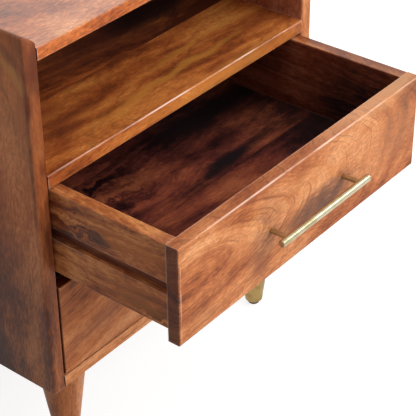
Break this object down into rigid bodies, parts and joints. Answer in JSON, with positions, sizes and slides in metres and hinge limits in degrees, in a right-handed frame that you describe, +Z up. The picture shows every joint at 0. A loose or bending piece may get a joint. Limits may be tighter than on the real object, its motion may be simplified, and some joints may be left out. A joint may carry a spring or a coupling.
{
  "type": "nightstand",
  "caption": "Floor-standing wooden nightstand with an open shelf bay above inset drawers on wooden runners, round bar handles, and tapered round legs with brass caps.",
  "frame": {"origin": "on the floor, under the middle of the outline with the upper drawer drawn out 162 mm", "axes": "+Z up, the drawers open towards -Y, +X is to the right of someone facing the drawer fronts"},
  "size_m": [0.46, 0.549, 0.5688],
  "materials": {
    "case_wood": "satin",
    "front_wood": "satin",
    "drawer_wood": "satin",
    "inner_wood": "matte",
    "leg_wood": "satin",
    "brass": "satin",
    "steel": "satin",
    "glide_plastic": "matte"
  },
  "bodies": {
    "cabinet": {"side_panel_left": "case_wood", "side_panel_right": "case_wood", "top_panel": "case_wood", "shelf_panel": "case_wood", "bottom_panel": "case_wood", "back_panel": "inner_wood", "runner_upper_left": "inner_wood", "runner_upper_right": "inner_wood", "runner_lower_left": "inner_wood", "runner_lower_right": "inner_wood", "back_pins": "steel", "leg_bolts": "steel", "leg_front_left": "leg_wood", "leg_front_right": "leg_wood", "leg_back_left": "leg_wood", "leg_back_right": "leg_wood", "leg_caps": "brass", "leg_glides": "glide_plastic"},
    "upper_drawer": {"upper_drawer_front": "front_wood", "upper_drawer_side_left": "drawer_wood", "upper_drawer_side_right": "drawer_wood", "upper_drawer_back": "drawer_wood", "upper_drawer_bottom": "drawer_wood", "upper_drawer_handle": "brass", "upper_drawer_handle_screws": "steel"},
    "lower_drawer": {"lower_drawer_front": "front_wood", "lower_drawer_side_left": "drawer_wood", "lower_drawer_side_right": "drawer_wood", "lower_drawer_back": "drawer_wood", "lower_drawer_bottom": "drawer_wood", "lower_drawer_handle": "brass", "lower_drawer_handle_screws": "steel"}
  },
  "joints": [
    {"name": "upper_drawer_slide", "type": "slide", "parent": "cabinet", "child": "upper_drawer", "axis": [0, -1, 0], "range_m": [-0.162, 0.1]},
    {"name": "lower_drawer_slide", "type": "slide", "parent": "cabinet", "child": "lower_drawer", "axis": [0, -1, 0], "range_m": [0, 0.26]}
  ]
}
